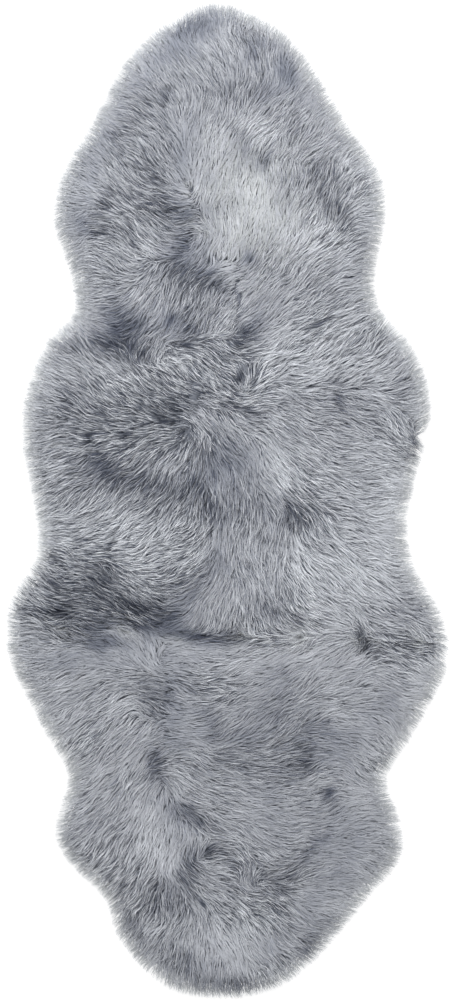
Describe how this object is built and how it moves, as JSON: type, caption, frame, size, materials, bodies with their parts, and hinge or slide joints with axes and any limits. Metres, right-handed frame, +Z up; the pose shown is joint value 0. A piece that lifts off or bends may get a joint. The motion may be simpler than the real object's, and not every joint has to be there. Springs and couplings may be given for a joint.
{
  "type": "double sheepskin rug",
  "caption": "Long floor rug of two wool pelts sewn end to end, with a lobed natural outline, deep soft pile and a flat skin underside.",
  "frame": {"origin": "on the floor, under the middle of the rug's bounding box", "axes": "+Z up, out of the wool; +Y along the rug, towards the neck end of the long pelt; +X across it"},
  "size_m": [0.7921, 1.8, 0.0459],
  "materials": {
    "wool": "dyed long wool pile, matt with a soft sheen at the tips",
    "skin": "napped undyed skin side, matt",
    "thread": "spun sewing thread, matt"
  },
  "bodies": {
    "root": {"long_pelt": "wool", "short_pelt": "wool"}
  },
  "joints": []
}
